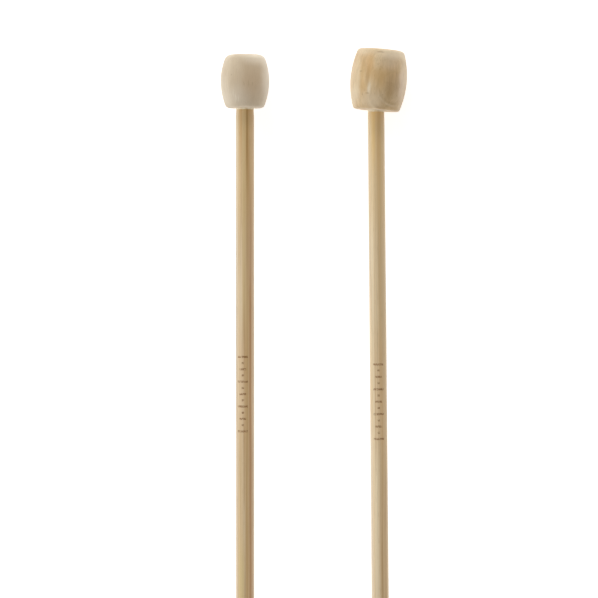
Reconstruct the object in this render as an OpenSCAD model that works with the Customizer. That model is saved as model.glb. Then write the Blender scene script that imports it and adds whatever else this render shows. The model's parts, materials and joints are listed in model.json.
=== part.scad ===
// A pair of straight knitting needles: bamboo shafts with a ground point and a glued wooden stopper bead.
// The needles lie side by side on a flat surface at z = 0, points towards -Y and beads towards +Y.
// Each needle is drawn along its own +Z axis, from its point at z = 0, and is then laid down.

/* [Shafts] */
// Overall length of each needle, from the point to the far face of its bead
needle_l = 330; // [180:1:400]
// Diameter of the left shaft
left_shaft_d = 2.58; // [2:0.01:3.2]
// Diameter of the right shaft
right_shaft_d = 2.42; // [2:0.01:3.2]
// Length over which a shaft is ground down to its point
point_l = 12; // [6:0.5:20]
// Radius of the rounded tip of a point
point_tip_r = 0.35; // [0.2:0.05:0.8]
// Depth to which the glued end of a shaft is sanded down
sanding_depth = 0.06; // [0.02:0.01:0.15]
// Distance that the sanded stretch reaches out of the bead, fading out from the edge of the glue
sanding_reach = 1.2; // [0.8:0.1:3]

/* [Left bead] */
// Largest diameter of the left bead
left_bead_d = 6.85; // [6:0.05:9]
// Length of the left bead
left_bead_l = 7.5; // [6:0.1:9]
// Radius of the barrel curve of the left bead
left_barrel_r = 9.2; // [8:0.1:20]
// Edge rounding at the end of the left bead where the shaft enters
left_mouth_edge_r = 0.6; // [0.2:0.05:0.9]
// Edge rounding at the far end of the left bead
left_end_edge_r = 1.1; // [0.2:0.05:1.2]

/* [Right bead] */
// Largest diameter of the right bead
right_bead_d = 7.95; // [7:0.05:10]
// Length of the right bead
right_bead_l = 8.5; // [7:0.1:10]
// Radius of the barrel curve of the right bead
right_barrel_r = 12.4; // [9:0.1:24]
// Edge rounding at the end of the right bead where the shaft enters
right_mouth_edge_r = 0.4; // [0.2:0.05:0.9]
// Edge rounding at the far end of the right bead
right_end_edge_r = 0.6; // [0.2:0.05:1.2]
// Angle between the right bead and its shaft, because the bead is drilled off square
right_bead_skew = 5.3; // [-8:0.1:8]

/* [Glue] */
// Thickness of the glue between a shaft and the wall of its bore
glue_gap = 0.05; // [0.03:0.01:0.1]
// Size of the glue fillet at the mouth of a bead
glue_fillet = 0.22; // [0.1:0.01:0.3]
// Depth of the end of a shaft below the far face of its bead
shaft_recess = 0.3; // [0.2:0.05:1]

/* [Layout] */
// Distance between the two shafts where they leave their beads
needle_pitch = 18.4; // [12:0.1:40]
// Angle of the right needle from the left one, seen from above
right_yaw = 0.5; // [-1:0.05:1]
// Distance that the right bead lies beyond the left one
right_lead = 0.7; // [-10:0.1:10]

/* [Hidden] */
$fn = 96;
arc_steps = 12;
overshoot = 1;

shaft_colour = [0.78, 0.64, 0.46];
left_bead_colour = [0.76, 0.69, 0.58];
right_bead_colour = [0.76, 0.62, 0.43];
glue_colour = [0.93, 0.88, 0.76];

// Distance along a needle from its point to the mouth of its bead
left_mouth = needle_l - left_bead_l;
right_mouth = needle_l - right_bead_l / cos(right_bead_skew);

// A lying needle rests on the belly of its bead and on the shoulder of its point
left_pitch = lying_pitch(left_shaft_d, left_bead_d, left_mouth + left_bead_l / 2);
right_pitch = lying_pitch(right_shaft_d, right_bead_d,
                          right_mouth + right_bead_l / 2 * cos(right_bead_skew));

// Angle of the right bead, seen from above
right_bead_turn = right_bead_skew - right_yaw;

// The row is centred on the origin: how far each needle reaches to its outer side from the mouth of
// its bead. On the right that is the belly of the bead, or the shoulder of a long shaft that swings out.
left_reach = left_bead_d / 2;
right_bead_reach = right_bead_l / 2 * sin(right_bead_turn) + right_barrel_r
    - (right_barrel_r - right_bead_d / 2) * cos(right_bead_turn);
right_shaft_reach = (right_mouth - point_l) * sin(right_yaw) + right_shaft_d / 2;
right_reach = max(right_bead_reach, right_shaft_reach);
left_x = (left_reach - needle_pitch - right_reach) / 2;
right_x = left_x + needle_pitch;

right_corner = edge_centre(right_bead_d, right_bead_l, right_barrel_r, right_end_edge_r);
right_length = right_mouth + right_corner[0] * sin(abs(right_bead_turn))
    + (right_bead_l - right_end_edge_r) * cos(right_bead_turn) + right_end_edge_r;
left_point_y = -max(needle_l, right_length + right_lead) / 2;
right_point_y = left_point_y + right_lead;

function lying_pitch(shaft_d, bead_d, belly) = asin((bead_d - shaft_d) / 2 / (belly - point_l));
function axis_height(shaft_d, pitch) = shaft_d / 2 * cos(pitch) - point_l * sin(pitch);

// Points of an arc round centre, from angle start to angle finish
function arc(centre, r, start, finish, first = 0) = [
    for (i = [first:arc_steps])
        let (angle = start + (finish - start) * i / arc_steps)
            centre + r * [cos(angle), sin(angle)]
];

// Radius and height of the centre of an edge rounding that runs smoothly into the barrel curve
function edge_centre(bead_d, bead_l, barrel_r, edge_r) =
    let (height = bead_l / 2 - edge_r)
        [sqrt(pow(barrel_r - edge_r, 2) - pow(height, 2)) - (barrel_r - bead_d / 2), height];

function sanded_d(shaft_d) = shaft_d - 2 * sanding_depth;
function bore_d(shaft_d) = sanded_d(shaft_d) + 2 * glue_gap;

// Rod with an ogive point that runs smoothly into the rod and into the rounded tip, and with its
// other end sanded down for the bead, whose mouth is at the given distance
module pointed_rod(shaft_d, mouth) {
    rod_r = shaft_d / 2;
    sanded_r = sanded_d(shaft_d) / 2;
    rod_end = needle_l - shaft_recess;
    taper = point_l - point_tip_r;
    ogive_r = (pow(taper, 2) + pow(rod_r, 2) - pow(point_tip_r, 2)) / (2 * (rod_r - point_tip_r));
    meet = -atan2(taper, ogive_r - rod_r);
    rotate_extrude()
        polygon(concat(
            [[0, rod_end], [0, 0]],
            arc([0, point_tip_r], point_tip_r, -90, meet, first = 1),
            arc([rod_r - ogive_r, point_l], ogive_r, meet, 0, first = 1),
            [[rod_r, mouth - sanding_reach], [sanded_r, mouth - glue_fillet], [sanded_r, rod_end]]
        ));
}

// Barrel without its bore, mouth at z = 0
module barrel(bead_d, bead_l, barrel_r, mouth_edge_r, end_edge_r) {
    middle = bead_l / 2;
    barrel_x = bead_d / 2 - barrel_r;
    mouth_edge = edge_centre(bead_d, bead_l, barrel_r, mouth_edge_r);
    end_edge = edge_centre(bead_d, bead_l, barrel_r, end_edge_r);
    mouth_meet = -atan2(mouth_edge[1], mouth_edge[0] - barrel_x);
    end_meet = atan2(end_edge[1], end_edge[0] - barrel_x);
    rotate_extrude()
        polygon(concat(
            [[0, bead_l], [0, 0]],
            arc([mouth_edge[0], middle - mouth_edge[1]], mouth_edge_r, -90, mouth_meet),
            arc([barrel_x, middle], barrel_r, mouth_meet, end_meet, first = 1),
            arc([end_edge[0], middle + end_edge[1]], end_edge_r, end_meet, 90, first = 1)
        ));
}

// The barrels as they sit on their shafts, which pass through the mouth at z = 0 along +Z
module left_barrel() {
    barrel(left_bead_d, left_bead_l, left_barrel_r, left_mouth_edge_r, left_end_edge_r);
}

module right_barrel() {
    rotate([0, right_bead_skew, 0])
        barrel(right_bead_d, right_bead_l, right_barrel_r, right_mouth_edge_r, right_end_edge_r);
}

// Hole for a shaft and its glue, right through a bead
module bore(shaft_d, bead_l) {
    translate([0, 0, -bead_l])
        cylinder(h = 3 * bead_l, d = bore_d(shaft_d));
}

// Glue that fills the gap in a bore up to the end of the shaft, and forms a fillet at the mouth.
// Its children are the barrel that it sits in.
module glue_joint(shaft_d, shaft_end) {
    glue_d = bore_d(shaft_d);
    spread = glue_fillet + overshoot;
    difference() {
        union() {
            intersection() {
                children();
                translate([0, 0, -overshoot])
                    cylinder(h = shaft_end + overshoot, d = glue_d);
            }
            difference() {
                translate([0, 0, -glue_fillet])
                    cylinder(h = spread, d1 = glue_d, d2 = glue_d + 2 * spread);
                children();
            }
        }
        translate([0, 0, -spread])
            cylinder(h = spread + 2 * shaft_end, d = sanded_d(shaft_d));
    }
}

// Lays a needle down, with its point at the given place and its own +Y turned downwards
module lay(point_x, point_y, height, pitch, yaw) {
    translate([point_x, point_y, height])
        rotate([0, 0, yaw])
            rotate([pitch - 90, 0, 0])
                children();
}

module lay_left() {
    lay(left_x, left_point_y, axis_height(left_shaft_d, left_pitch), left_pitch, 0)
        children();
}

// The right needle turns about the mouth of its bead, so its point swings sideways
module lay_right() {
    lay(right_x + right_mouth * sin(right_yaw), right_point_y,
        axis_height(right_shaft_d, right_pitch), right_pitch, right_yaw)
        children();
}

module left_shaft() {
    color(shaft_colour)
        lay_left()
            pointed_rod(left_shaft_d, left_mouth);
}

module left_bead() {
    color(left_bead_colour)
        lay_left()
            translate([0, 0, left_mouth])
                difference() {
                    left_barrel();
                    bore(left_shaft_d, left_bead_l);
                }
}

module left_glue() {
    color(glue_colour)
        lay_left()
            translate([0, 0, left_mouth])
                glue_joint(left_shaft_d, left_bead_l - shaft_recess)
                    left_barrel();
}

module right_shaft() {
    color(shaft_colour)
        lay_right()
            pointed_rod(right_shaft_d, right_mouth);
}

module right_bead() {
    color(right_bead_colour)
        lay_right()
            translate([0, 0, right_mouth])
                difference() {
                    right_barrel();
                    bore(right_shaft_d, right_bead_l);
                }
}

module right_glue() {
    color(glue_colour)
        lay_right()
            translate([0, 0, right_mouth])
                glue_joint(right_shaft_d, needle_l - shaft_recess - right_mouth)
                    right_barrel();
}

left_shaft();
left_bead();
left_glue();
right_shaft();
right_bead();
right_glue();
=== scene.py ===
import json
import math

import bpy
from mathutils import Matrix, Vector


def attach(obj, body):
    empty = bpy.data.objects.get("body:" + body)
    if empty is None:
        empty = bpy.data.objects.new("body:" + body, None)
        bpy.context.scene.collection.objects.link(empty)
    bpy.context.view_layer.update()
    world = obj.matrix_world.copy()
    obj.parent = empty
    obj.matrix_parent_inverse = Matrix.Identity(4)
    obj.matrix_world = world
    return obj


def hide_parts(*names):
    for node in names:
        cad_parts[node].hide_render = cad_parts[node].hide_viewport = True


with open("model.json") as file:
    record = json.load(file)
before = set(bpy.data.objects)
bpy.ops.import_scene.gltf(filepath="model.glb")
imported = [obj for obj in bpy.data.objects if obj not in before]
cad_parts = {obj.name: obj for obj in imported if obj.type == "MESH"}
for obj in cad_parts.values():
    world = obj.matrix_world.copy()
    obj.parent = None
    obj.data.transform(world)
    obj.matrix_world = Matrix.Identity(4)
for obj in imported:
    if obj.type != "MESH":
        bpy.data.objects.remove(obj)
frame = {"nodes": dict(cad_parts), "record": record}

# A pair of straight knitting needles: bamboo shafts with ground points, each glued into a turned bead.
# Every needle is shaped along its own +Z, from its point to its bead, with its +Y downwards, and is
# then laid where the frame has it. Sizes are in metres, and the materials work in millimetres.

MM = 0.001
FULL_TURN = 2 * math.pi

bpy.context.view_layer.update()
mounts = {mount["name"]: mount for mount in frame["record"]["mounts"]}


# ---------------------------------------------------------------------------------------------
# Camera: straight above the bead end of the pair, through a long lens
# ---------------------------------------------------------------------------------------------

VIEW_WIDTH = 84.2 * MM
VIEW_RIGHT_OF_LEFT_SHAFT = 7.585 * MM
VIEW_SHORT_OF_BEAD_END = 34.31 * MM
LENS = 180.0
SENSOR = 36.0


def add_camera():
    end = Vector(mounts["left_bead_end"]["pos_m"])
    axis_height = mounts["left_shaft"]["pos_m"][2]
    data = bpy.data.cameras.new("camera")
    data.lens = LENS
    data.sensor_width = SENSOR
    camera = bpy.data.objects.new("camera", data)
    bpy.context.scene.collection.objects.link(camera)
    bpy.context.scene.camera = camera
    camera.location = (
        end.x + VIEW_RIGHT_OF_LEFT_SHAFT,
        end.y - VIEW_SHORT_OF_BEAD_END,
        axis_height + VIEW_WIDTH * LENS / SENSOR,
    )


add_camera()


# ---------------------------------------------------------------------------------------------
# Where the frame has each needle
# ---------------------------------------------------------------------------------------------


def standing(axis, origin):
    """The matrix that lays local +Z along an axis, with +X level and +Y downwards."""
    side = Vector((axis.y, -axis.x, 0)).normalized()
    down = axis.cross(side)
    turn = Matrix((side, down, axis)).transposed().to_4x4()
    return Matrix.Translation(origin) @ turn


def reach(node, origin, axis):
    """The lowest and highest point of a CAD node along an axis, and its largest radius about it."""
    along, radii = [], []
    for vertex in frame["nodes"][node].data.vertices:
        offset = vertex.co - origin
        height = offset.dot(axis)
        along.append(height)
        radii.append((offset - height * axis).length)
    return min(along), max(along), max(radii)


class Needle:
    """One needle as the frame has it: the frames of its shaft and its bead, and their sizes."""

    def __init__(self, side):
        self.side = side
        self.body = side + "_needle"

        # The mount of the shaft is the middle of its plain stretch, from the point to the sanded neck
        pin = mounts[side + "_shaft"]
        plain_l = pin["dims"]["length_mm"] * MM
        axis = -Vector(pin["axis"]).normalized()
        middle = Vector(pin["pos_m"])
        low, high, _ = reach(side + "_shaft", middle, axis)
        self.shaft_r = pin["dims"]["r_mm"] * MM
        self.shaft_l = high - low
        self.frame = standing(axis, middle + low * axis)
        self.point_l = -low - plain_l / 2
        self.neck = self.point_l + plain_l

        # The bead stands on its own axis, which meets the shaft's at the mouth of the bead
        bead_end = Vector(mounts[side + "_bead_end"]["pos_m"])
        bead_axis = Vector(mounts[side + "_bead_end"]["axis"]).normalized()
        bead_low, bead_high, _ = reach(side + "_bead", bead_end, bead_axis)
        to_mouth = (bead_end - middle).dot(bead_axis) + bead_low
        mouth = middle + axis * (to_mouth / axis.dot(bead_axis))
        self.mouth = (mouth - middle).dot(axis) - low
        self.bead_frame = standing(bead_axis, mouth)
        self.bead_l = bead_high - bead_low
        self.bead_r = reach(side + "_bead", mouth, bead_axis)[2]


left = Needle("left")
right = Needle("right")


# ---------------------------------------------------------------------------------------------
# Modelling tools
# ---------------------------------------------------------------------------------------------

MERGE_DISTANCE = 0.0001 * MM


def arc(centre, radius, start, finish, steps, first=0):
    """Points of an arc in an outline, from angle start to angle finish in degrees."""
    points = []
    for step in range(first, steps + 1):
        angle = math.radians(start + (finish - start) * step / steps)
        points.append((centre[0] + radius * math.cos(angle), centre[1] + radius * math.sin(angle)))
    return points


def choose(piece):
    """Makes a piece the only one that is selected, and the active one."""
    bpy.ops.object.select_all(action="DESELECT")
    piece.select_set(True)
    bpy.context.view_layer.objects.active = piece


def edit(piece):
    choose(piece)
    bpy.ops.object.mode_set(mode="EDIT")
    bpy.ops.mesh.select_mode(type="VERT")


def finish_edit():
    bpy.ops.object.mode_set(mode="OBJECT")


def divide(piece, index, number):
    """Cuts the stretch that follows one point of a drawn outline into shorter ones."""
    for vertex in piece.data.vertices:
        vertex.select = vertex.index in (index, index + 1)
    for edge in piece.data.edges:
        edge.select = set(edge.vertices) == {index, index + 1}
    edit(piece)
    bpy.ops.mesh.subdivide(number_cuts=number)
    finish_edit()


def turned(name, outline, sides, cuts=()):
    """A turned piece. A point is drawn along the outline of (radius, height), and then spun round Z.
    cuts gives, for each stretch that is divided, its index in the outline and its number of cuts."""
    bpy.ops.object.select_all(action="DESELECT")
    bpy.ops.mesh.primitive_plane_add(size=MM)
    piece = bpy.context.object
    piece.name = piece.data.name = name
    edit(piece)
    bpy.ops.mesh.select_all(action="SELECT")
    bpy.ops.mesh.merge(type="CENTER")
    bpy.ops.transform.translate(value=(outline[0][0], 0, outline[0][1]))
    for before, after in zip(outline, outline[1:]):
        step = (after[0] - before[0], 0, after[1] - before[1])
        bpy.ops.mesh.extrude_region_move(TRANSFORM_OT_translate={"value": step})
    finish_edit()
    for index, number in cuts:
        divide(piece, index, number)
    edit(piece)
    bpy.ops.mesh.select_all(action="SELECT")
    bpy.ops.mesh.spin(steps=sides, angle=FULL_TURN, center=(0, 0, 0), axis=(0, 0, 1))
    bpy.ops.mesh.select_all(action="SELECT")
    bpy.ops.mesh.remove_doubles(threshold=MERGE_DISTANCE)
    bpy.ops.mesh.normals_make_consistent(inside=False)
    finish_edit()
    return piece


def hollow(piece, across, along, depth, seed):
    """Presses soft hollows into a piece, of a size across and along it, and at most depth deep."""
    texture = bpy.data.textures.new("hollows", "CLOUDS")
    texture.noise_scale = 1.0
    texture.noise_depth = 2
    grid = bpy.data.objects.new("hollow_grid", None)
    bpy.context.scene.collection.objects.link(grid)
    grid.location = (seed * across, seed * across, seed * along)
    grid.scale = (across, across, along)
    bpy.context.view_layer.update()
    press = piece.modifiers.new("hollows", "DISPLACE")
    press.texture = texture
    press.texture_coords = "OBJECT"
    press.texture_coords_object = grid
    press.mid_level = 1.0
    press.strength = depth
    choose(piece)
    bpy.ops.object.modifier_apply(modifier=press.name)
    bpy.data.objects.remove(grid)
    bpy.data.textures.remove(texture)


def smooth(piece, sharpest):
    """Shades a piece smooth, but for edges that turn by more than an angle in degrees."""
    choose(piece)
    bpy.ops.object.shade_smooth_by_angle(angle=math.radians(sharpest))


def place(piece, matrix, needle, node, material):
    """Lays a finished piece in the row, in the place of its CAD node."""
    piece.data.transform(matrix)
    piece.data.materials.clear()
    piece.data.materials.append(material)
    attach(piece, needle.body)
    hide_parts(node)


# ---------------------------------------------------------------------------------------------
# Material tools
# ---------------------------------------------------------------------------------------------

SOCKETS = {"vector": "NodeSocketVector", "value": "NodeSocketFloat", "colour": "NodeSocketColor"}

# Where a Mix node has its sockets for colours
MIX_FACTOR, MIX_A, MIX_B = 0, 6, 7
MIX_RESULT = 2

# Soft noise keeps near the middle of its range of 0 to 1, and these are its usual ends
NOISE_LOW, NOISE_HIGH = 0.3, 0.7


def feed(tree, socket, value):
    """Links a socket to where its value comes from, or sets it to a fixed value."""
    if isinstance(value, bpy.types.NodeSocket):
        tree.links.new(value, socket)
    else:
        socket.default_value = value


def put(tree, kind, inputs=(), **settings):
    """Adds a node with its settings, and feeds its inputs."""
    node = tree.nodes.new(kind)
    for name, value in settings.items():
        setattr(node, name, value)
    for key, value in dict(inputs).items():
        feed(tree, node.inputs[key], value)
    return node


def calculate(tree, operation, *values):
    return put(tree, "ShaderNodeMath", dict(enumerate(values)), operation=operation).outputs[0]


def vector_math(tree, operation, *values):
    """A vector that is worked out from others."""
    return put(tree, "ShaderNodeVectorMath", dict(enumerate(values)), operation=operation).outputs[0]


def measure(tree, operation, *values):
    """A number that is worked out from vectors."""
    node = put(tree, "ShaderNodeVectorMath", dict(enumerate(values)), operation=operation)
    return node.outputs["Value"]


def combined(tree, x, y, z):
    return put(tree, "ShaderNodeCombineXYZ", {"X": x, "Y": y, "Z": z}).outputs[0]


def separate(tree, vector):
    return put(tree, "ShaderNodeSeparateXYZ", {0: vector}).outputs


def between(tree, value, low, high):
    """Rises smoothly from 0 where the value is low to 1 where it is high."""
    inputs = {"Value": value, "From Min": low, "From Max": high}
    node = put(tree, "ShaderNodeMapRange", inputs, interpolation_type="SMOOTHSTEP")
    return node.outputs["Result"]


def noise_range(tree, noise, at_low, at_high):
    """A number that goes evenly from one value to another over the usual range of a soft noise."""
    inputs = {"Value": noise, "From Min": NOISE_LOW, "From Max": NOISE_HIGH,
              "To Min": at_low, "To Max": at_high}
    return put(tree, "ShaderNodeMapRange", inputs).outputs["Result"]


def opposite(tree, mask):
    """A mask that is 1 where another is 0, and 0 where it is 1."""
    return calculate(tree, "SUBTRACT", 1.0, mask)


def overlap(tree, *masks):
    """The mask where all of several masks lie over each other."""
    shared = masks[0]
    for mask in masks[1:]:
        shared = calculate(tree, "MULTIPLY", shared, mask)
    return shared


def mix(tree, mask, plain, changed, blend="MIX"):
    inputs = {MIX_FACTOR: mask, MIX_A: plain, MIX_B: changed}
    node = put(tree, "ShaderNodeMix", inputs, data_type="RGBA", blend_type=blend)
    return node.outputs[MIX_RESULT]


def tint(tree, colour, mask, tone, strength):
    """Tints a colour with a tone where the mask is."""
    return mix(tree, calculate(tree, "MULTIPLY", mask, strength), colour, tone)


def shaded(tree, colour, shade):
    """Multiplies a colour by a shade, where 1 leaves it as it is."""
    grey = put(tree, "ShaderNodeCombineColor", {0: shade, 1: shade, 2: shade}).outputs[0]
    return mix(tree, 1.0, colour, grey, "MULTIPLY")


def group(name, inputs, outputs):
    """A node group with named sockets: its tree, its inputs and its outputs."""
    tree = bpy.data.node_groups.new(name, "ShaderNodeTree")
    for label, kind in inputs.items():
        tree.interface.new_socket(label, in_out="INPUT", socket_type=SOCKETS[kind])
    for label, kind in outputs.items():
        tree.interface.new_socket(label, in_out="OUTPUT", socket_type=SOCKETS[kind])
    given = tree.nodes.new("NodeGroupInput").outputs
    result = tree.nodes.new("NodeGroupOutput").inputs
    return tree, given, result


def use(tree, built, **inputs):
    """Places a node group. An input's name has _ for each space."""
    node = tree.nodes.new("ShaderNodeGroup")
    node.node_tree = built
    for name, value in inputs.items():
        feed(tree, node.inputs[name.replace("_", " ")], value)
    return node.outputs


def rgb(red, green, blue):
    """A colour from its 0 to 255 screen values."""

    def linear(value):
        value /= 255
        return value / 12.92 if value <= 0.04045 else ((value + 0.055) / 1.055) ** 2.4

    return (linear(red), linear(green), linear(blue), 1.0)


def build_streaks():
    """Soft noise that is drawn out along Z."""
    tree, given, result = group(
        "streaks",
        {"Vector": "vector", "Across": "value", "Along": "value", "Detail": "value", "Seed": "value"},
        {"Value": "value"},
    )
    scale = combined(tree, given["Across"], given["Across"], given["Along"])
    start = combined(tree, given["Seed"], given["Seed"], given["Seed"])
    drawn_out = vector_math(tree, "MULTIPLY", given["Vector"], scale)
    place_in_noise = vector_math(tree, "ADD", drawn_out, start)
    noise = put(tree, "ShaderNodeTexNoise",
                {"Vector": place_in_noise, "Scale": 1.0, "Detail": given["Detail"], "Roughness": 0.55})
    tree.links.new(noise.outputs[0], result["Value"])
    return tree


def build_spot():
    """A mask of 1 inside an oval patch, which fades to 0 outside it."""
    tree, given, result = group(
        "spot",
        {"Vector": "vector", "Centre": "vector", "Size": "vector", "Fade": "value"},
        {"Mask": "value"},
    )
    offset = vector_math(tree, "SUBTRACT", given["Vector"], given["Centre"])
    distance = measure(tree, "LENGTH", vector_math(tree, "DIVIDE", offset, given["Size"]))
    outer = calculate(tree, "ADD", 1.0, given["Fade"])
    inner = calculate(tree, "SUBTRACT", 1.0, given["Fade"])
    faded = put(tree, "ShaderNodeMapRange",
                {"Value": distance, "From Min": inner, "From Max": outer, "To Min": 1.0, "To Max": 0.0},
                interpolation_type="SMOOTHSTEP")
    tree.links.new(faded.outputs["Result"], result["Mask"])
    return tree


def build_lane():
    """A mask of 1 in a narrow lane along the top of a shaft, with soft sides and ends."""
    tree, given, result = group(
        "lane",
        {"Vector": "vector", "Middle": "value", "Half Width": "value", "Start": "value",
         "End": "value"},
        {"Mask": "value"},
    )
    end_fade = 4.0
    apart = separate(tree, given["Vector"])
    off = calculate(tree, "ABSOLUTE", calculate(tree, "SUBTRACT", apart["X"], given["Middle"]))
    off_share = calculate(tree, "DIVIDE", off, given["Half Width"])
    short_by = calculate(tree, "SUBTRACT", given["Start"], apart["Z"])
    over_by = calculate(tree, "SUBTRACT", apart["Z"], given["End"])
    outsides = (
        between(tree, off_share, low=0.4, high=1.4),
        between(tree, short_by, low=-end_fade, high=end_fade),
        between(tree, over_by, low=-end_fade, high=end_fade),
        between(tree, apart["Y"], low=-0.5, high=0.3),
    )
    mask = overlap(tree, *[opposite(tree, outside) for outside in outsides])
    tree.links.new(mask, result["Mask"])
    return tree


def build_arch():
    """A mask of 1 along part of a thin ring on the top of a piece, where a growth ring comes out."""
    tree, given, result = group(
        "arch",
        {"Vector": "vector", "Centre": "vector", "Radius": "value", "Half Width": "value",
         "Towards": "vector"},
        {"Mask": "value"},
    )
    seen_from_above = (1.0, 0.0, 1.0)
    offset = vector_math(tree, "SUBTRACT", given["Vector"], given["Centre"])
    offset = vector_math(tree, "MULTIPLY", offset, seen_from_above)
    distance = measure(tree, "LENGTH", offset)
    off = calculate(tree, "ABSOLUTE", calculate(tree, "SUBTRACT", distance, given["Radius"]))
    off_share = calculate(tree, "DIVIDE", off, given["Half Width"])
    facing = measure(tree, "DOT_PRODUCT", vector_math(tree, "NORMALIZE", offset), given["Towards"])
    height = separate(tree, given["Vector"])["Y"]
    mask = overlap(
        tree,
        opposite(tree, between(tree, off_share, low=0.2, high=1.6)),
        between(tree, facing, low=0.55, high=0.90),
        calculate(tree, "LESS_THAN", height, 0.0),
    )
    tree.links.new(mask, result["Mask"])
    return tree


streaks = build_streaks()
spot = build_spot()
lane = build_lane()
arch = build_arch()


def grain_noise(tree, given, across, along, detail, offset):
    """A layer of streaks in a kind of grain. Each layer has its own offset from the seed."""
    seed = calculate(tree, "ADD", given["Seed"], offset)
    return use(tree, streaks, Vector=given["Vector"], Across=across, Along=along,
               Detail=detail, Seed=seed)["Value"]


def build_bamboo():
    """Bamboo cut along its fibres: broad bands, fine fibres, darker bundles and short flecks."""
    tree, given, result = group(
        "bamboo",
        {"Vector": "vector", "Pale": "colour", "Tan": "colour", "Brown": "colour", "Seed": "value"},
        {"Color": "colour", "Roughness": "value", "Height": "value"},
    )
    bands = grain_noise(tree, given, across=0.95, along=0.010, detail=1.0, offset=0.0)
    bands = between(tree, bands, low=0.36, high=0.64)
    fine_bands = grain_noise(tree, given, across=3.2, along=0.016, detail=2.0, offset=9.0)
    fine_bands = between(tree, fine_bands, low=0.34, high=0.66)
    fibres = grain_noise(tree, given, across=9.0, along=0.05, detail=3.0, offset=17.0)
    hairlines = grain_noise(tree, given, across=5.5, along=0.035, detail=1.0, offset=25.0)
    hairlines = between(tree, hairlines, low=0.56, high=0.68)
    flecks = grain_noise(tree, given, across=13.0, along=0.75, detail=2.0, offset=31.0)
    flecks = between(tree, flecks, low=0.60, high=0.72)

    # The bundles are long cells with a dark core, which comes and goes along the shaft
    cell_scale = (2.1, 2.1, 0.006)
    cells = vector_math(tree, "MULTIPLY", given["Vector"], cell_scale)
    off_core = put(tree, "ShaderNodeTexVoronoi", {"Vector": cells, "Scale": 1.0}).outputs["Distance"]
    core = opposite(tree, between(tree, off_core, low=0.10, high=0.34))
    waves = grain_noise(tree, given, across=0.8, along=0.09, detail=2.0, offset=43.0)
    bundles = overlap(tree, core, between(tree, waves, low=0.30, high=0.62))

    colour = mix(tree, bands, given["Pale"], given["Tan"])
    colour = tint(tree, colour, fine_bands, given["Tan"], strength=0.45)
    colour = tint(tree, colour, hairlines, given["Brown"], strength=0.40)
    colour = tint(tree, colour, bundles, given["Brown"], strength=0.55)
    colour = shaded(tree, colour, noise_range(tree, fibres, at_low=0.84, at_high=1.12))
    colour = tint(tree, colour, flecks, given["Brown"], strength=0.30)
    tree.links.new(colour, result["Color"])

    roughness = noise_range(tree, fibres, at_low=0.50, at_high=0.38)
    fleck_roughness = calculate(tree, "MULTIPLY", flecks, 0.1)
    roughness = calculate(tree, "ADD", roughness, fleck_roughness)
    tree.links.new(roughness, result["Roughness"])

    bundle_depth = calculate(tree, "MULTIPLY", bundles, 0.35)
    fleck_depth = calculate(tree, "MULTIPLY", flecks, 0.4)
    height = calculate(tree, "SUBTRACT", calculate(tree, "SUBTRACT", fibres, bundle_depth), fleck_depth)
    tree.links.new(height, result["Height"])
    return tree


def build_wood():
    """Turned wood: growth rings round a pith, fibres and short open pores along the grain."""
    tree, given, result = group(
        "wood",
        {"Vector": "vector", "Pith": "vector", "Ring Width": "value", "Ring Strength": "value",
         "Fibre Strength": "value", "Pore Strength": "value", "Pale": "colour", "Tan": "colour",
         "Brown": "colour", "Seed": "value"},
        {"Color": "colour", "Roughness": "value", "Height": "value"},
    )

    # The rings sway, and close over the pith, so that they show as arches on the side of the piece
    closing = (1.0, 1.0, 0.25)
    darkening = 2.2
    sway = put(tree, "ShaderNodeTexNoise", {"Vector": given["Vector"], "Scale": 0.32, "Detail": 2.0})
    sway = vector_math(tree, "SUBTRACT", sway.outputs["Color"], (0.5, 0.5, 0.5))
    sway = put(tree, "ShaderNodeVectorMath", {0: sway, "Scale": 1.1}, operation="SCALE").outputs[0]
    swayed = vector_math(tree, "ADD", given["Vector"], sway)
    from_pith = vector_math(tree, "SUBTRACT", swayed, given["Pith"])
    distance = measure(tree, "LENGTH", vector_math(tree, "MULTIPLY", from_pith, closing))
    ring = calculate(tree, "FRACT", calculate(tree, "DIVIDE", distance, given["Ring Width"]))
    ring_edge = between(tree, ring, low=0.90, high=1.0)
    late_wood = overlap(tree, calculate(tree, "POWER", ring, darkening), opposite(tree, ring_edge))

    patches = grain_noise(tree, given, across=0.35, along=0.16, detail=2.0, offset=3.0)
    patches = between(tree, patches, low=0.35, high=0.65)
    fibres = grain_noise(tree, given, across=6.5, along=0.55, detail=3.0, offset=11.0)
    pores = grain_noise(tree, given, across=11.0, along=1.3, detail=1.0, offset=23.0)
    pores = between(tree, pores, low=0.62, high=0.72)
    pores = calculate(tree, "MULTIPLY", pores, given["Pore Strength"])
    glints = grain_noise(tree, given, across=5.0, along=0.9, detail=1.0, offset=37.0)
    glints = between(tree, glints, low=0.62, high=0.75)

    colour = mix(tree, patches, given["Pale"], given["Tan"])
    colour = tint(tree, colour, late_wood, given["Brown"], strength=given["Ring Strength"])
    swing = calculate(tree, "SUBTRACT", fibres, 0.5)
    swing = calculate(tree, "MULTIPLY", swing, given["Fibre Strength"])
    colour = shaded(tree, colour, calculate(tree, "ADD", swing, 1.0))
    colour = mix(tree, pores, colour, given["Brown"])
    colour = tint(tree, colour, glints, given["Pale"], strength=0.25)
    tree.links.new(colour, result["Color"])

    roughness = noise_range(tree, fibres, at_low=0.72, at_high=0.60)
    pore_roughness = calculate(tree, "MULTIPLY", pores, 0.15)
    roughness = calculate(tree, "ADD", roughness, pore_roughness)
    tree.links.new(roughness, result["Roughness"])

    pore_depth = calculate(tree, "MULTIPLY", pores, 1.2)
    ring_depth = calculate(tree, "MULTIPLY", late_wood, 0.2)
    height = calculate(tree, "SUBTRACT", calculate(tree, "SUBTRACT", fibres, pore_depth), ring_depth)
    tree.links.new(height, result["Height"])
    return tree


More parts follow.
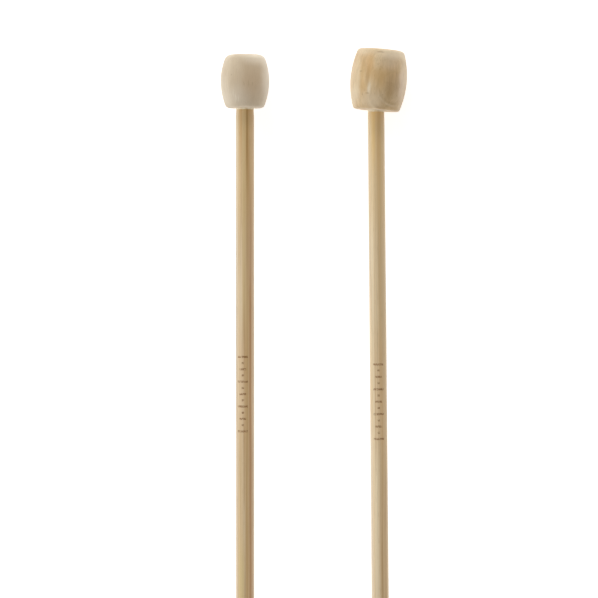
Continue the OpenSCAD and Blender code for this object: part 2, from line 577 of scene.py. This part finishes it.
def build_gauge_mark():
    """A burnt row of plain ticks and dots along the top of a shaft, made of small scorched dots."""
    tree, given, result = group(
        "gauge_mark",
        {"Vector": "vector", "Start": "value", "Length": "value", "Middle": "value",
         "Width": "value", "Tick Spacing": "value", "Seed": "value"},
        {"Mask": "value"},
    )
    apart = separate(tree, given["Vector"])
    along = calculate(tree, "SUBTRACT", apart["Z"], given["Start"])
    steps = calculate(tree, "DIVIDE", along, given["Tick Spacing"])
    off_tick = calculate(tree, "SUBTRACT", calculate(tree, "FRACT", steps), 0.5)
    off_tick = calculate(tree, "ABSOLUTE", off_tick)
    line = opposite(tree, between(tree, off_tick, low=0.12, high=0.21))

    # A round is a long bar, a dot, a half bar and a dot, and each has its share of the width
    dot_share, half_bar_share, long_bar_share = 0.22, 0.67, 1.0
    ticks_in_round = 4.0
    rounds = calculate(tree, "DIVIDE", calculate(tree, "FLOOR", steps), ticks_in_round)
    place_in_round = calculate(tree, "FRACT", rounds)
    long_bar = calculate(tree, "LESS_THAN", place_in_round, 0.2)
    half_bar = calculate(tree, "COMPARE", place_in_round, 0.5, 0.1)
    longer = calculate(tree, "MULTIPLY", long_bar, long_bar_share - dot_share)
    halfway = calculate(tree, "MULTIPLY", half_bar, half_bar_share - dot_share)
    share = calculate(tree, "ADD", calculate(tree, "ADD", dot_share, longer), halfway)

    half_width = calculate(tree, "MULTIPLY", given["Width"], 0.5)
    off_middle = calculate(tree, "ABSOLUTE", calculate(tree, "SUBTRACT", apart["X"], given["Middle"]))
    spare = calculate(tree, "SUBTRACT", calculate(tree, "MULTIPLY", half_width, share), off_middle)
    scorch = use(tree, streaks, Vector=given["Vector"], Across=5.0, Along=5.0, Detail=2.0,
                 Seed=given["Seed"])["Value"]
    mask = overlap(
        tree,
        line,
        between(tree, spare, low=-0.06, high=0.06),
        calculate(tree, "GREATER_THAN", along, 0.0),
        calculate(tree, "LESS_THAN", along, given["Length"]),
        calculate(tree, "LESS_THAN", apart["Y"], 0.0),
        between(tree, scorch, low=0.28, high=0.60),
    )
    tree.links.new(mask, result["Mask"])
    return tree


bamboo = build_bamboo()
wood = build_wood()
gauge_mark = build_gauge_mark()


def new_material(name, matrix):
    """A material, and the place on its piece in millimetres in the piece's own frame."""
    material = bpy.data.materials.new(name)
    material.use_nodes = True
    tree = material.node_tree
    shader = tree.nodes["Principled BSDF"]
    own_place = {
        "Vector": put(tree, "ShaderNodeTexCoord").outputs["Object"],
        "Location": matrix.to_translation(),
        "Rotation": matrix.to_euler(),
        "Scale": (MM, MM, MM),
    }
    vector = put(tree, "ShaderNodeMapping", own_place, vector_type="TEXTURE").outputs["Vector"]
    return material, tree, shader, vector


def finish_material(tree, shader, colour, roughness, height, relief, specular, fuzz=0.0):
    """Feeds a shader, whose surface stands up by the relief where its height goes from 0 to 1."""
    tree.links.new(colour, shader.inputs["Base Color"])
    tree.links.new(roughness, shader.inputs["Roughness"])
    bump = put(tree, "ShaderNodeBump", {"Height": height, "Strength": 1.0, "Distance": relief})
    tree.links.new(bump.outputs["Normal"], shader.inputs["Normal"])
    shader.inputs["Specular IOR Level"].default_value = specular
    shader.inputs["Sheen Weight"].default_value = fuzz
    shader.inputs["Sheen Roughness"].default_value = 0.5


# Lanes and spots wander with a seed of their own, this far from that of the grain below them
WANDER_OFFSET = 5.0


def wandering(tree, vector, across, along, amount, grain_seed):
    """The place with a sideways wander, so that what is drawn on it isn't ruler-straight."""
    wander = use(tree, streaks, Vector=vector, Across=across, Along=along, Detail=2.0,
                 Seed=grain_seed + WANDER_OFFSET)["Value"]
    sideways = calculate(tree, "MULTIPLY", calculate(tree, "SUBTRACT", wander, 0.5), amount)
    return vector_math(tree, "ADD", vector, combined(tree, sideways, 0.0, 0.0))


# The burnt mark: its sizes in millimetres, its tone, and how far it goes in
MARK_L = 11.3
MARK_W = 1.4
TICK_SPACING = 0.87
BURNT = rgb(134, 86, 36)
BURN_STRENGTH = 0.80
BURN_DEPTH = 0.6
BURN_ROUGHNESS = 0.2


def bamboo_material(name, needle, grain, lanes, mark_start, mark_middle):
    """Bamboo with its own lanes and burnt mark, in places along it from the mouth of the bead."""
    material, tree, shader, vector = new_material(name, needle.frame)
    mouth = needle.mouth / MM
    surface = use(tree, bamboo, Vector=vector, **grain)
    wavy = wandering(tree, vector, across=0.5, along=0.04, amount=0.25, grain_seed=grain["Seed"])
    colour = surface["Color"]
    for middle, half_width, start, end, tone, strength in lanes:
        mask = use(tree, lane, Vector=wavy, Middle=middle, Half_Width=half_width,
                   Start=mouth + start, End=mouth + end)["Mask"]
        colour = tint(tree, colour, mask, tone, strength)
    burn = use(tree, gauge_mark, Vector=vector, Start=mouth + mark_start, Length=MARK_L,
               Middle=mark_middle, Width=MARK_W, Tick_Spacing=TICK_SPACING, Seed=grain["Seed"])["Mask"]
    colour = tint(tree, colour, burn, BURNT, BURN_STRENGTH)
    groove = calculate(tree, "MULTIPLY", burn, BURN_DEPTH)
    height = calculate(tree, "SUBTRACT", surface["Height"], groove)
    char = calculate(tree, "MULTIPLY", burn, BURN_ROUGHNESS)
    roughness = calculate(tree, "ADD", surface["Roughness"], char)
    finish_material(tree, shader, colour, roughness, height, relief=0.012 * MM, specular=0.4, fuzz=0.32)
    return material


def wood_material(name, needle, grain, spots, arches=()):
    """Wood with its own stains, patches of painted light and a painted shadow, and arches."""
    material, tree, shader, vector = new_material(name, needle.bead_frame)
    surface = use(tree, wood, Vector=vector, **grain)
    wavy = wandering(tree, vector, across=0.7, along=0.7, amount=0.5, grain_seed=grain["Seed"])
    colour = surface["Color"]
    for centre, radius, half_width, towards, tone, strength in arches:
        mask = use(tree, arch, Vector=wavy, Centre=centre, Radius=radius, Half_Width=half_width,
                   Towards=towards)["Mask"]
        colour = tint(tree, colour, mask, tone, strength)
    for centre, size, fade, tone, strength in spots:
        mask = use(tree, spot, Vector=wavy, Centre=centre, Size=size, Fade=fade)["Mask"]
        colour = tint(tree, colour, mask, tone, strength)
    finish_material(tree, shader, colour, surface["Roughness"], surface["Height"], relief=0.02 * MM,
                    specular=0.3, fuzz=0.36)
    return material


def glue_material(needle):
    material, tree, shader, vector = new_material(needle.side + "_cured_glue", needle.frame)
    cloud = use(tree, streaks, Vector=vector, Across=2.5, Along=2.5, Detail=3.0, Seed=4.0)["Value"]
    milky = between(tree, cloud, low=0.35, high=0.65)
    colour = mix(tree, milky, rgb(226, 205, 166), rgb(240, 226, 198))
    roughness = noise_range(tree, cloud, at_low=0.30, at_high=0.45)
    finish_material(tree, shader, colour, roughness, cloud, relief=0.02 * MM, specular=0.5)
    return material


# ---------------------------------------------------------------------------------------------
# Shafts
# ---------------------------------------------------------------------------------------------

# How a shaft is sanded down and glued into its bead
SANDING_DEPTH = 0.06 * MM
GLUE_GAP = 0.05 * MM
GLUE_FILLET = 0.22 * MM

SHAFT_SIDES = 96
RING_SPACING = 1.2 * MM
TIP_R = 0.35 * MM
END_CHAMFER = 0.08 * MM

# Radii of the rings on the sawn end, as shares of its own
END_RINGS = (0.35, 0.7)

# A rod can be slimmer near its bead: evenly at first, and then fading out
SLIM_EVEN_L = 1 * MM
SLIM_L = 70 * MM

FLUTE_W = 0.42 * MM
FLUTE_L = 16 * MM
FLUTE_DEPTH = 0.014 * MM

# The strips of a shaft's UV map, and the share of each that is left free along its edges
UV_STRIPS = 6
UV_EDGE = 0.03
UV_SHARE = 1 - 2 * UV_EDGE
ON_AXIS = 0.01 * MM


def shaft_outline(needle, slimmer):
    """From the middle of the sawn end, down the side to the tip. Near the bead the rod is slimmer."""
    rod_r = needle.shaft_r
    slim_r = rod_r - slimmer
    sanded_r = rod_r - SANDING_DEPTH
    taper = needle.point_l - TIP_R
    ogive_r = (taper**2 + rod_r**2 - TIP_R**2) / (2 * (rod_r - TIP_R))
    meet = -math.degrees(math.atan2(taper, ogive_r - rod_r))
    end = needle.shaft_l
    tip = arc((0, TIP_R), TIP_R, meet, -90, steps=8, first=1)
    tip[-1] = (0, 0)
    return [
        (0, end),
        *[(sanded_r * share, end) for share in END_RINGS],
        (sanded_r - END_CHAMFER, end),
        (sanded_r, end - END_CHAMFER),
        (sanded_r, needle.mouth - GLUE_FILLET),
        (slim_r, needle.neck),
        (slim_r, needle.neck - SLIM_EVEN_L),
        (rod_r, needle.neck - SLIM_L),
        (rod_r, needle.point_l),
        *arc((rod_r - ogive_r, needle.point_l), ogive_r, 0, meet, steps=18, first=1),
        *tip,
    ]


def unroll(piece, length, radius):
    """A UV map for a long rod: its length in strips side by side, each unrolled round its girth."""
    mesh = piece.data
    layer = mesh.uv_layers.new(name="OFBake")
    strip_l = (length + 2 * radius) / UV_STRIPS

    def travel(point):
        """How far a point is from the middle of the tip, along the surface."""
        inward = radius - math.hypot(point.x, point.y)
        return radius + (point.z + inward if point.z > length / 2 else point.z - inward)

    for face in mesh.polygons:
        middle = face.center
        strip = min(UV_STRIPS - 1, max(0, int(travel(middle) / strip_l)))
        turn = math.atan2(middle.y, middle.x)
        for corner in face.loop_indices:
            point = mesh.vertices[mesh.loops[corner].vertex_index].co
            angle = turn
            if math.hypot(point.x, point.y) > ON_AXIS:
                angle = math.atan2(point.y, point.x)
                angle += FULL_TURN * round((turn - angle) / FULL_TURN)
            across = UV_EDGE + UV_SHARE * (angle / FULL_TURN + 0.5)
            along = UV_EDGE + UV_SHARE * (travel(point) / strip_l - strip)
            layer.data[corner].uv = ((strip + across) / UV_STRIPS, along)


def make_shaft(needle, slimmer, seed, material):
    outline = shaft_outline(needle, slimmer)
    cuts = []
    for index, (before, after) in enumerate(zip(outline, outline[1:])):
        fall = before[1] - after[1]
        if fall > 2 * RING_SPACING:
            cuts.append((index, int(fall / RING_SPACING)))
    shaft = turned(needle.side + "_bamboo_shaft", outline, SHAFT_SIDES, cuts)
    hollow(shaft, FLUTE_W, FLUTE_L, FLUTE_DEPTH, seed)
    unroll(shaft, needle.shaft_l, needle.shaft_r)
    smooth(shaft, sharpest=40)
    place(shaft, needle.frame, needle, needle.side + "_shaft", material)


# ---------------------------------------------------------------------------------------------
# Beads
# ---------------------------------------------------------------------------------------------

BEAD_SIDES = 128
BORE_CHAMFER = 0.12 * MM
BORE_CUTS = 10

# Reaches past the chamfer of a bore, but not as far as the next ring of a bead or its glue
PAST_CHAMFER = 1.5 * BORE_CHAMFER

# Hand sanding leaves soft dents, and finer ripples of a share of their depth
DENT_W = 1.6 * MM
DENT_L = 1.9 * MM
RIPPLE_W = 0.35 * MM
RIPPLE_L = 0.9 * MM
RIPPLE_SHARE = 0.3
RIPPLE_OFFSET = 3.0


def edge_centre(bead_r, bead_l, barrel_r, edge_r):
    """Where a rounded edge that meets the barrel curve has its centre, from the middle of the bead."""
    height = bead_l / 2 - edge_r
    return math.sqrt((barrel_r - edge_r) ** 2 - height**2) - (barrel_r - bead_r), height


def bead_side(needle, barrel_r, mouth_edge_r, end_edge_r):
    """The side of a bead, from the flat round its mouth to the flat at its far end."""
    middle = needle.bead_l / 2
    barrel_x = needle.bead_r - barrel_r
    mouth_r, mouth_h = edge_centre(needle.bead_r, needle.bead_l, barrel_r, mouth_edge_r)
    end_r, end_h = edge_centre(needle.bead_r, needle.bead_l, barrel_r, end_edge_r)
    mouth_meet = -math.degrees(math.atan2(mouth_h, mouth_r - barrel_x))
    end_meet = math.degrees(math.atan2(end_h, end_r - barrel_x))
    return (
        arc((mouth_r, middle - mouth_h), mouth_edge_r, -90, mouth_meet, steps=10)
        + arc((barrel_x, middle), barrel_r, mouth_meet, end_meet, steps=36, first=1)
        + arc((end_r, middle + end_h), end_edge_r, end_meet, 90, steps=14, first=1)
    )


def lean_bore(bead, needle, bore_r):
    """Leans the bore of a bead over, so that it follows a shaft that isn't square to the bead."""
    to_bead = needle.bead_frame.inverted() @ needle.frame
    along = (to_bead.to_3x3() @ Vector((0, 0, 1))).normalized()
    lean = Matrix.Identity(4)
    lean[0][2] = along.x / along.z
    lean[1][2] = along.y / along.z
    for vertex in bead.data.vertices:
        if math.hypot(vertex.co.x, vertex.co.y) < bore_r + PAST_CHAMFER:
            vertex.co = lean @ vertex.co


def make_bead(needle, barrel_r, mouth_edge_r, end_edge_r, dents, seed, material):
    bore_r = needle.shaft_r - SANDING_DEPTH + GLUE_GAP
    chamfer_r = bore_r + BORE_CHAMFER
    side = bead_side(needle, barrel_r, mouth_edge_r, end_edge_r)
    bore_end = (bore_r, needle.bead_l - BORE_CHAMFER)
    outline = [
        bore_end,
        (bore_r, BORE_CHAMFER),
        (chamfer_r, 0),
        ((side[0][0] + chamfer_r) / 2, 0),
        *side,
        ((side[-1][0] + chamfer_r) / 2, needle.bead_l),
        (chamfer_r, needle.bead_l),
        bore_end,
    ]
    bead = turned(needle.side + "_barrel_bead", outline, BEAD_SIDES, [(0, BORE_CUTS)])
    lean_bore(bead, needle, bore_r)
    hollow(bead, DENT_W, DENT_L, dents, seed)
    hollow(bead, RIPPLE_W, RIPPLE_L, dents * RIPPLE_SHARE, seed + RIPPLE_OFFSET)
    smooth(bead, sharpest=40)
    place(bead, needle.bead_frame, needle, needle.side + "_bead", material)


# ---------------------------------------------------------------------------------------------
# Glue
# ---------------------------------------------------------------------------------------------

GLUE_SIDES = 96

# The film keeps just off the wall of the bore, and its top edge and the rim of its fillet are thin
FILM_CLEARANCE = 0.002 * MM
TOP_EDGE_W = 0.012 * MM
TOP_EDGE_H = 0.03 * MM
RIM_W = 0.9 * BORE_CHAMFER
RIM_H = 0.02 * MM


def lean_fillet(glue, needle):
    """Leans the fillet over, so that its rim lies on the mouth face of a bead that isn't square."""
    square = needle.frame.inverted().to_3x3() @ needle.bead_frame.to_3x3() @ Vector((0, 0, 1))
    for vertex in glue.data.vertices:
        if vertex.co.z < PAST_CHAMFER:
            share = min(1, max(0, 1 + vertex.co.z / GLUE_FILLET))
            rise = -(vertex.co.x * square.x + vertex.co.y * square.y) / square.z
            vertex.co.z += share * rise


def make_glue(needle, material):
    """The film of glue in the bore, with a hollow fillet at the mouth that thins out on the shaft."""
    inner = needle.shaft_r - SANDING_DEPTH
    outer = inner + GLUE_GAP
    film = outer - FILM_CLEARANCE
    top = needle.shaft_l - needle.mouth
    spread = GLUE_GAP + GLUE_FILLET
    fillet = [
        (inner + spread * (1 - across), GLUE_FILLET * (up - 1))
        for across, up in arc((0, 0), 1, 0, 90, steps=10)
    ]
    outline = [
        (inner, top),
        (inner, -GLUE_FILLET / 2),
        *fillet,
        (outer + RIM_W, RIM_H),
        (film, BORE_CHAMFER),
        (film, top - TOP_EDGE_H),
        (film - TOP_EDGE_W, top),
        (inner, top),
    ]
    glue = turned(needle.side + "_cured_glue", outline, GLUE_SIDES)
    lean_fillet(glue, needle)
    smooth(glue, sharpest=60)
    mouth_frame = needle.frame @ Matrix.Translation((0, 0, needle.mouth))
    place(glue, mouth_frame, needle, needle.side + "_glue", material)


# ---------------------------------------------------------------------------------------------
# The two needles
# ---------------------------------------------------------------------------------------------

# The lanes of a shaft are rows of: middle and half width across it, start and end along it from the
# mouth of its bead, tone and strength. Some run all the way from the point, and some into the bead.
FROM_POINT = -340
INTO_BEAD = 10

left_bamboo = bamboo_material(
    "left_bamboo", left,
    grain={"Pale": rgb(229, 208, 172), "Tan": rgb(210, 180, 134), "Brown": rgb(167, 122, 70),
           "Seed": 2.0},
    lanes=[
        (-0.66, 0.40, -46, -22, rgb(236, 214, 178), 0.45),
        (-0.42, 0.38, FROM_POINT, -46, rgb(213, 182, 134), 0.50),
        (0.30, 0.26, FROM_POINT, -58, rgb(172, 136, 90), 0.25),
        (-0.20, 0.70, -47, -31, rgb(204, 160, 108), 0.28),
        (0.50, 0.46, FROM_POINT, INTO_BEAD, rgb(204, 164, 104), 0.55),
        (0.92, 0.26, FROM_POINT, INTO_BEAD, rgb(204, 168, 126), 0.50),
        (0.78, 0.15, FROM_POINT, -12, rgb(176, 120, 66), 0.65),
        (0.27, 0.15, -9, INTO_BEAD, rgb(160, 114, 50), 0.78),
        (0.30, 0.10, -22, -9, rgb(170, 124, 66), 0.30),
        (0.50, 0.12, -24, -5, rgb(178, 128, 76), 0.35),
        (0.52, 0.50, -25, -13, rgb(222, 194, 156), 0.28),
        # Painted shade on the left rim near the bead: a greyish lane that darkens and cools it
        (-1.20, 0.14, -42, INTO_BEAD, rgb(190, 179, 160), 0.50),
        (1.02, 0.20, FROM_POINT, -46, rgb(188, 150, 106), 0.40),
        # Painted light on the left rim: a pale cool lane for the light that wraps round the side
        (-1.14, 0.22, FROM_POINT, -44, rgb(234, 222, 202), 0.30),
        (-0.58, 0.18, -6, INTO_BEAD, rgb(192, 146, 84), 0.60),
        # Partly a paler golden lane, partly painted light against the shade the bead casts near its
        # mouth
        (-0.15, 0.28, -30, INTO_BEAD, rgb(228, 202, 148), 0.50),
        (0.02, 0.09, -80, -64, rgb(150, 116, 62), 0.25),
        (-0.50, 0.44, -90, -62, rgb(216, 194, 132), 0.50),
        (-0.98, 0.05, FROM_POINT, -25, rgb(176, 146, 108), 0.40),
        (0.0, 3.0, -16, INTO_BEAD, rgb(218, 182, 122), 0.25),
        # Painted light: a paler band across the whole shaft at the mouth, against the shade the bead
        # casts there
        (0.0, 3.0, -1, INTO_BEAD, rgb(236, 198, 132), 0.25),
    ],
    mark_start=-45.8,
    mark_middle=-0.28,
)
right_bamboo = bamboo_material(
    "right_bamboo", right,
    grain={"Pale": rgb(232, 212, 175), "Tan": rgb(218, 190, 146), "Brown": rgb(171, 129, 80),
           "Seed": 7.0},
    lanes=[
        (-0.20, 0.30, -45, -8, rgb(236, 216, 178), 0.15),
        (0.55, 0.50, FROM_POINT, INTO_BEAD, rgb(206, 172, 122), 0.50),
        (0.95, 0.22, FROM_POINT, INTO_BEAD, rgb(208, 176, 128), 0.40),
        # Partly a golden stripe, partly painted light against the shade the bead casts near its mouth
        (0.30, 0.40, -8, INTO_BEAD, rgb(222, 180, 120), 0.40),
        # Painted light: a pale lane at the mouth, against the shade the bead casts there
        (-0.02, 0.40, -3, INTO_BEAD, rgb(242, 210, 158), 0.45),
        # Painted shade on the left rim near the bead: a greyish lane that darkens and cools it
        (-1.10, 0.18, -25, -4, rgb(196, 178, 148), 0.45),
        (0.22, 0.18, FROM_POINT, -50, rgb(194, 156, 108), 0.35),
        # Painted light on the left rim: a pale cool lane for the light that wraps round the side
        (-1.08, 0.18, FROM_POINT, -44, rgb(236, 227, 209), 0.35),
        (0.00, 0.70, -48, -32, rgb(214, 168, 114), 0.24),
        # Partly a golden stripe, partly painted light against the shade the bead casts near its mouth
        (-0.45, 0.34, -7, INTO_BEAD, rgb(238, 200, 130), 0.70),
        (-0.74, 0.22, -90, -16, rgb(240, 226, 194), 0.25),
        (0.33, 0.12, -90, -60, rgb(172, 130, 80), 0.42),
        (0.86, 0.07, -90, -50, rgb(178, 130, 80), 0.55),
        (0.10, 0.06, -60, -30, rgb(196, 160, 114), 0.35),
        (0.0, 3.0, -16, INTO_BEAD, rgb(224, 188, 126), 0.25),
        # Painted light: a paler band across the whole shaft at the mouth, against the shade the bead
        # casts there
        (0.0, 3.0, -1, INTO_BEAD, rgb(242, 208, 144), 0.30),
    ],
    mark_start=-46.5,
    mark_middle=-0.02,
)

# The spots of a bead, stains and painted light and shade, are rows of: centre, size, how far its edge
# fades, tone and strength
left_wood = wood_material(
    "left_bead_wood", left,
    grain={"Pith": (-7.0, 4.0, 1.0), "Ring_Width": 1.5, "Ring_Strength": 0.06, "Fibre_Strength": 0.22,
           "Pore_Strength": 0.12, "Pale": rgb(217, 201, 175), "Tan": rgb(208, 189, 160),
           "Brown": rgb(160, 134, 100), "Seed": 12.0},
    spots=[
        ((1.00, -3, 3.6), (1.70, 4, 2.9), 0.8, rgb(208, 178, 141), 0.55),
        ((-0.60, -3, 5.0), (2.40, 4, 1.5), 0.8, rgb(196, 172, 138), 0.30),
        ((-1.10, -3, 1.4), (1.50, 4, 1.2), 0.95, rgb(230, 217, 197), 0.40),
        # Painted light on the rounded far end and down the right rim of the bead
        ((1.90, -3, 7.0), (1.70, 4, 0.8), 0.9, rgb(242, 228, 204), 0.75),
        ((3.00, -2, 3.9), (0.55, 5, 2.9), 0.9, rgb(242, 230, 210), 0.50),
        ((-1.94, -3, 4.5), (0.07, 2, 0.10), 0.6, rgb(150, 124, 92), 0.35),
        ((-0.05, -3, 3.2), (0.05, 2, 0.30), 0.6, rgb(160, 134, 100), 0.30),
        ((0.55, -3, 3.3), (0.05, 2, 0.42), 0.6, rgb(160, 134, 100), 0.30),
        ((1.15, -3, 3.2), (0.05, 2, 0.26), 0.6, rgb(160, 134, 100), 0.30),
        ((-1.55, -3, 1.9), (0.05, 2, 0.45), 0.6, rgb(240, 230, 212), 0.35),
        ((-1.25, -3, 1.3), (0.06, 2, 0.50), 0.6, rgb(240, 230, 212), 0.45),
        ((-0.85, -3, 1.2), (0.05, 2, 0.40), 0.6, rgb(240, 230, 212), 0.45),
    ],
)

# The arches are rows of: centre, radius, half width, where they face, tone and strength
ARCH_FACES = (-0.55, 0, -0.83)
right_wood = wood_material(
    "right_bead_wood", right,
    grain={"Pith": (-1.8, 3.6, 4.0), "Ring_Width": 0.45, "Ring_Strength": 0.20, "Fibre_Strength": 0.46,
           "Pore_Strength": 0.45, "Pale": rgb(222, 196, 154), "Tan": rgb(206, 173, 126),
           "Brown": rgb(158, 121, 76), "Seed": 21.0},
    arches=[
        ((0.9, 0, 2.2), 2.40, 0.16, ARCH_FACES, rgb(234, 214, 180), 0.34),
        ((0.9, 0, 2.2), 2.10, 0.20, ARCH_FACES, rgb(164, 130, 86), 0.24),
        ((2.3, 0, 3.1), 2.45, 0.16, ARCH_FACES, rgb(232, 210, 174), 0.30),
        ((2.3, 0, 3.1), 2.15, 0.20, ARCH_FACES, rgb(160, 126, 82), 0.24),
    ],
    spots=[
        ((-1.43, -3, 6.2), (0.50, 4, 1.5), 0.8, rgb(212, 168, 108), 0.60),
        ((-1.62, -3, 4.6), (0.26, 4, 1.3), 0.8, rgb(190, 150, 92), 0.45),
        ((-2.25, -3, 3.3), (0.40, 4, 1.1), 0.8, rgb(214, 174, 114), 0.50),
        ((-3.00, -3, 4.6), (0.40, 4, 2.6), 0.8, rgb(216, 196, 160), 0.40),
        ((-2.35, -3, 5.2), (0.32, 4, 1.2), 0.8, rgb(202, 164, 104), 0.45),
        ((-0.80, -3, 4.8), (0.45, 4, 1.0), 0.8, rgb(206, 164, 102), 0.45),
        ((0.30, -3, 4.4), (0.80, 4, 1.5), 0.8, rgb(192, 148, 82), 0.60),
        ((1.78, -3, 3.2), (0.70, 4, 1.5), 0.8, rgb(170, 136, 90), 0.55),
        ((1.10, -3, 1.9), (0.70, 4, 1.1), 0.8, rgb(180, 148, 100), 0.35),
        ((2.60, -3, 3.2), (0.30, 4, 2.2), 0.8, rgb(186, 156, 120), 0.45),
        # Painted light down the right rim and low on the left rim of the bead
        ((3.25, -3, 3.9), (0.40, 4, 2.4), 0.8, rgb(234, 210, 184), 0.60),
        ((-3.10, -2, 1.9), (0.50, 5, 1.1), 0.9, rgb(238, 224, 196), 0.40),
        # Painted light on the rounded far end of the bead
        ((-2.30, -3, 8.1), (0.90, 4, 0.6), 0.9, rgb(242, 226, 194), 0.45),
        ((1.29, -3, 6.9), (1.20, 4, 1.1), 0.8, rgb(212, 190, 158), 0.60),
        # Painted light on the rounded far end of the bead
        ((2.00, -3, 8.0), (2.30, 4, 0.7), 0.9, rgb(244, 226, 196), 0.60),
        ((-0.70, -3, 1.2), (1.30, 4, 1.1), 0.8, rgb(230, 210, 178), 0.60),
        ((-1.37, -3, 2.8), (0.24, 3, 0.72), 0.7, rgb(242, 228, 200), 0.60),
        # Painted shadow: a thin dark line along the lower left of the pale chip above it
        ((-1.58, -3, 2.10), (0.26, 3, 0.07), 0.6, rgb(160, 122, 76), 0.45),
        ((-2.62, -3, 5.1), (0.13, 3, 0.10), 0.6, rgb(150, 112, 66), 0.40),
        ((-0.10, -3, 7.96), (0.50, 3, 0.05), 0.5, rgb(150, 104, 66), 0.60),
    ],
)

make_shaft(left, slimmer=0.0, seed=3.0, material=left_bamboo)
make_bead(left, barrel_r=9.2 * MM, mouth_edge_r=0.6 * MM, end_edge_r=1.1 * MM,
          dents=0.02 * MM, seed=5.0, material=left_wood)
make_glue(left, glue_material(left))
make_shaft(right, slimmer=0.035 * MM, seed=8.0, material=right_bamboo)
make_bead(right, barrel_r=12.4 * MM, mouth_edge_r=0.4 * MM, end_edge_r=0.6 * MM,
          dents=0.03 * MM, seed=11.0, material=right_wood)
make_glue(right, glue_material(right))


# ---------------------------------------------------------------------------------------------
# Floor and light
# ---------------------------------------------------------------------------------------------

FLOOR_SIZE = 12.0
BEADS_PLACE = (0, 0.13, 0)


def add_floor():
    bpy.ops.object.select_all(action="DESELECT")
    bpy.ops.mesh.primitive_plane_add(size=FLOOR_SIZE)
    floor = bpy.context.object
    floor.name = "floor"
    material = bpy.data.materials.new("pale_floor")
    material.use_nodes = True
    shader = material.node_tree.nodes["Principled BSDF"]
    shader.inputs["Base Color"].default_value = (0.9, 0.9, 0.9, 1)
    shader.inputs["Roughness"].default_value = 0.9
    shader.inputs["Emission Color"].default_value = (1, 1, 1, 1)
    shader.inputs["Emission Strength"].default_value = 0.55
    floor.data.materials.append(material)


def add_softbox(name, size, location, power):
    """A rectangular lamp that faces the beads."""
    data = bpy.data.lights.new(name, "AREA")
    data.shape = "RECTANGLE"
    data.size, data.size_y = size
    data.energy = power
    lamp = bpy.data.objects.new(name, data)
    bpy.context.scene.collection.objects.link(lamp)
    to_beads = Vector(BEADS_PLACE) - Vector(location)
    lamp.location = location
    lamp.rotation_euler = to_beads.to_track_quat("-Z", "Y").to_euler()
    lamp.visible_camera = False


def add_world(dark_side, dimmest, brightest, climb):
    """A white surround that is bright all round and dims towards the side where the camera stands."""
    world = bpy.data.worlds.new("studio")
    world.use_nodes = True
    tree = world.node_tree
    direction = put(tree, "ShaderNodeTexCoord").outputs["Generated"]
    facing = measure(tree, "DOT_PRODUCT", direction, Vector(dark_side).normalized())
    away = opposite(tree, calculate(tree, "MAXIMUM", facing, 0.0))
    glow = calculate(tree, "MULTIPLY", calculate(tree, "POWER", away, climb), brightest - dimmest)
    background = tree.nodes["Background"]
    background.inputs["Color"].default_value = (0.95, 0.955, 0.96, 1)
    tree.links.new(calculate(tree, "ADD", glow, dimmest), background.inputs["Strength"])
    bpy.context.scene.world = world


add_floor()
add_world(dark_side=(0.38, -0.14, 0.9), dimmest=0.25, brightest=1.28, climb=1.5)
add_softbox("left_softbox", size=(2.0, 1.2), location=(-1.6, -0.7, 0.8), power=5)
add_softbox("right_softbox", size=(1.6, 0.8), location=(1.7, 0.1, 0.5), power=2.7)
add_softbox("back_softbox", size=(1.6, 0.8), location=(0.0, 2.0, 0.8), power=13)
bpy.context.scene.view_settings.view_transform = "Standard"
